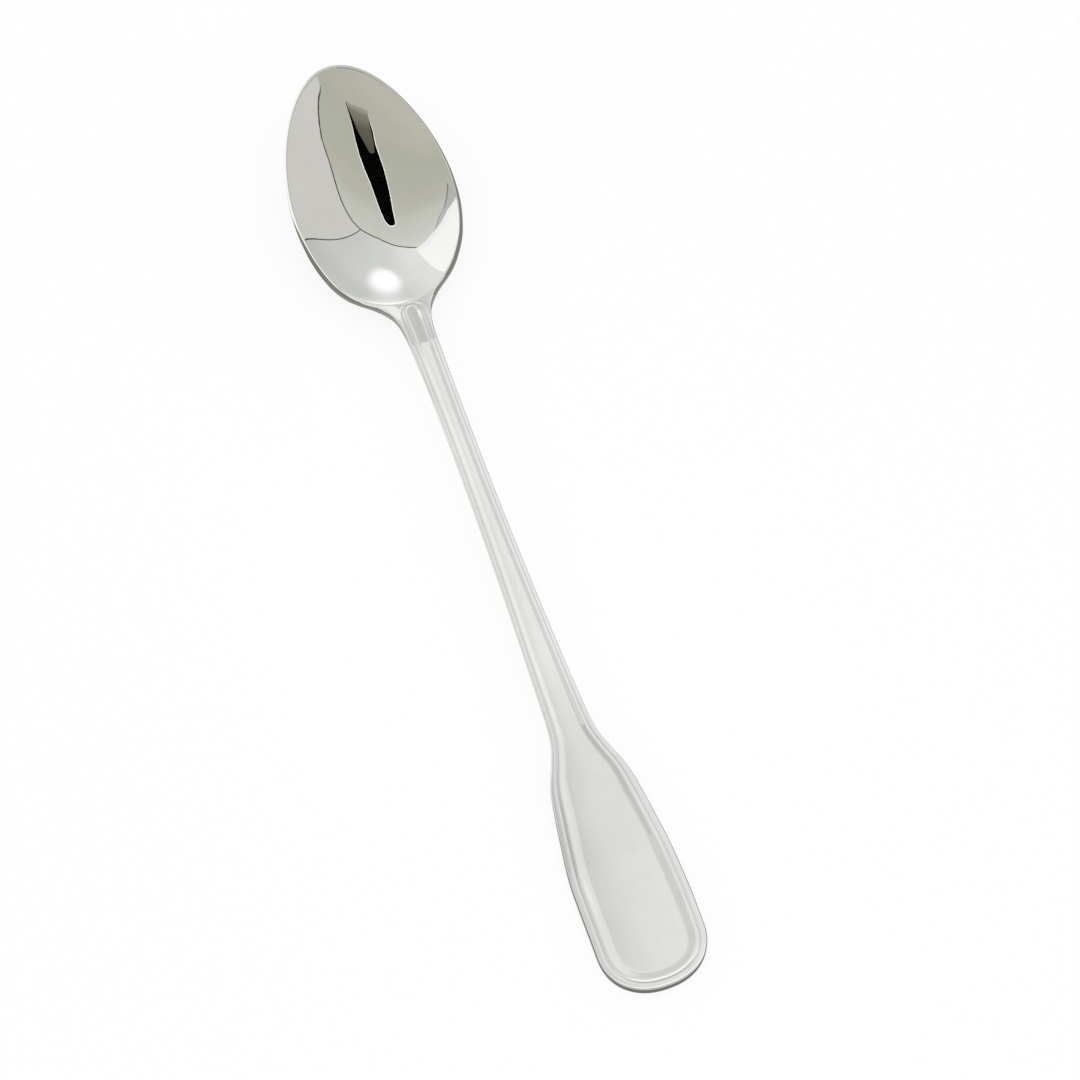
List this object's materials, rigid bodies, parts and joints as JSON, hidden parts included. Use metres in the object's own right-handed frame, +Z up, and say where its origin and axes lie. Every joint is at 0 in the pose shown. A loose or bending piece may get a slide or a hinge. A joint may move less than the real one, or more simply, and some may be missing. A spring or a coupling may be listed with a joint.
{
  "type": "iced tea spoon",
  "caption": "Long-handled iced tea spoon with an egg-shaped bowl, a slender stem and a fiddle-shaped handle bordered by a double thread.",
  "frame": {"origin": "on the table, below the middle of the spoon's length and width", "axes": "+Y along the spoon from the end of the handle to the tip of the bowl, +Z up out of the open side of the bowl, +X to the right seen from above with the bowl pointing away"},
  "size_m": [0.0324, 0.1938, 0.0132],
  "materials": {
    "steel": "polished"
  },
  "bodies": {
    "root": {"bowl": "steel", "neck": "steel", "stem": "steel", "handle": "steel"}
  },
  "joints": []
}
